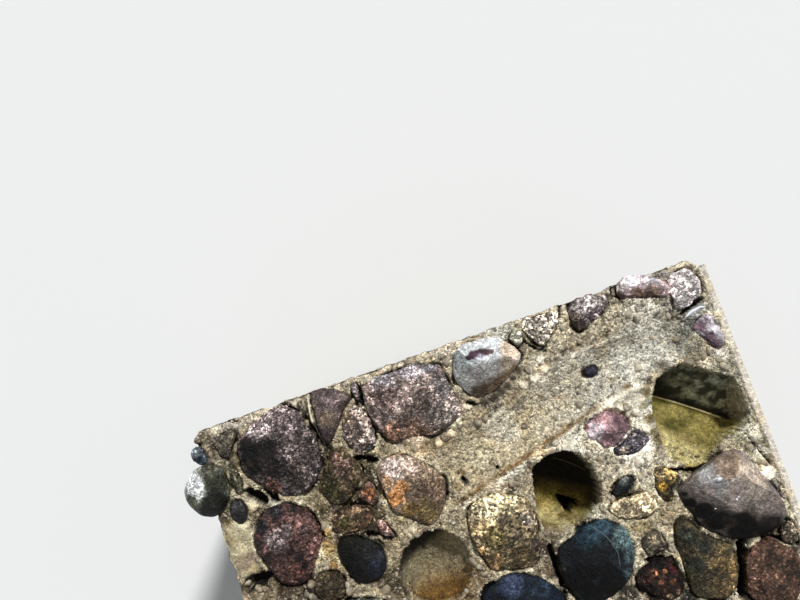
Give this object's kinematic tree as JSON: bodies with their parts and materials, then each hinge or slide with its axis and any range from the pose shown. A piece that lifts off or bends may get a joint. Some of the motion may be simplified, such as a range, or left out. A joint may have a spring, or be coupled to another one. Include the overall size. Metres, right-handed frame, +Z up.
{
  "type": "cobble-filled concrete armour block",
  "caption": "Rectangular concrete breakwater armour block cast full of sea cobbles, lying on its plain base with the worn stony face up.",
  "frame": {"origin": "middle of the plain cast base, on the ground", "axes": "+Z up through the stony face, +X along the block's length, +Y towards the edge that the picture shows as the far one"},
  "size_m": [1.584, 1.0202, 1.068],
  "materials": {
    "concrete": "rough weathered concrete with exposed gravel and salt staining",
    "purple_black_stone": "rough sea-worn purple-black cobble with bright grains",
    "blue_black_stone": "damp blue-black cobble, smooth",
    "red_stone": "rough dark red cobble",
    "pink_stone": "broken purple-pink stone",
    "lilac_stone": "smooth grey-purple cobble",
    "orange_stone": "smooth cobble stained orange",
    "yellow_stone": "mottled yellow-brown cobble",
    "brown_stone": "dull greenish-brown cobble",
    "grey_green_stone": "smooth damp grey-green cobble",
    "speckled_stone": "coarse speckled stone"
  },
  "bodies": {
    "root": {"black_round_cobble": "blue_black_stone", "blue_black_boulder": "blue_black_stone", "blue_chip_stone": "blue_black_stone", "brick_red_stone": "red_stone", "brown_block_stone": "purple_black_stone", "brown_oval_stone": "brown_stone", "concrete_block": "concrete", "dark_edge_pebble": "purple_black_stone", "dark_wedge_pebble": "purple_black_stone", "flat_rim_slab": "red_stone", "gravelly_stone": "speckled_stone", "green_black_stone": "grey_green_stone", "green_patch_stone": "grey_green_stone", "grey_brown_wedge_stone": "brown_stone", "grey_egg_cobble": "grey_green_stone", "grey_triangle_boulder": "lilac_stone", "hollow_pebble": "grey_green_stone", "lilac_broken_stone": "lilac_stone", "mortared_grey_stone": "grey_green_stone", "mossy_inset_stone": "brown_stone", "mottled_corner_stone": "grey_green_stone", "near_cobble_01": "purple_black_stone", "near_cobble_02": "grey_green_stone", "near_cobble_03": "blue_black_stone", "near_cobble_04": "red_stone", "near_cobble_05": "yellow_stone", "near_cobble_06": "brown_stone", "near_cobble_07": "grey_green_stone", "near_cobble_08": "purple_black_stone", "near_cobble_09": "lilac_stone", "near_cobble_10": "brown_stone", "near_cobble_11": "speckled_stone", "near_cobble_12": "blue_black_stone", "near_cobble_13": "red_stone", "ochre_stone": "yellow_stone", "olive_cobble": "brown_stone", "orange_boulder": "orange_stone", "pink_angular_stone": "pink_stone", "pink_sliver_stone": "red_stone", "plum_flake_stone": "purple_black_stone", "purple_black_boulder": "purple_black_stone", "purple_corner_stone": "speckled_stone", "purple_edge_stone": "pink_stone", "red_rim_stone": "red_stone", "red_round_boulder": "red_stone", "red_rubble_stone": "red_stone", "round_edge_pebble": "blue_black_stone", "rust_stone": "red_stone", "slate_blue_boulder": "blue_black_stone", "slate_wedge_stone": "purple_black_stone", "small_brown_stone": "brown_stone", "small_dark_oval_stone": "blue_black_stone", "speckled_granite_stone": "speckled_stone", "trough_pebble": "blue_black_stone", "yellow_mottled_boulder": "yellow_stone"}
  },
  "joints": []
}
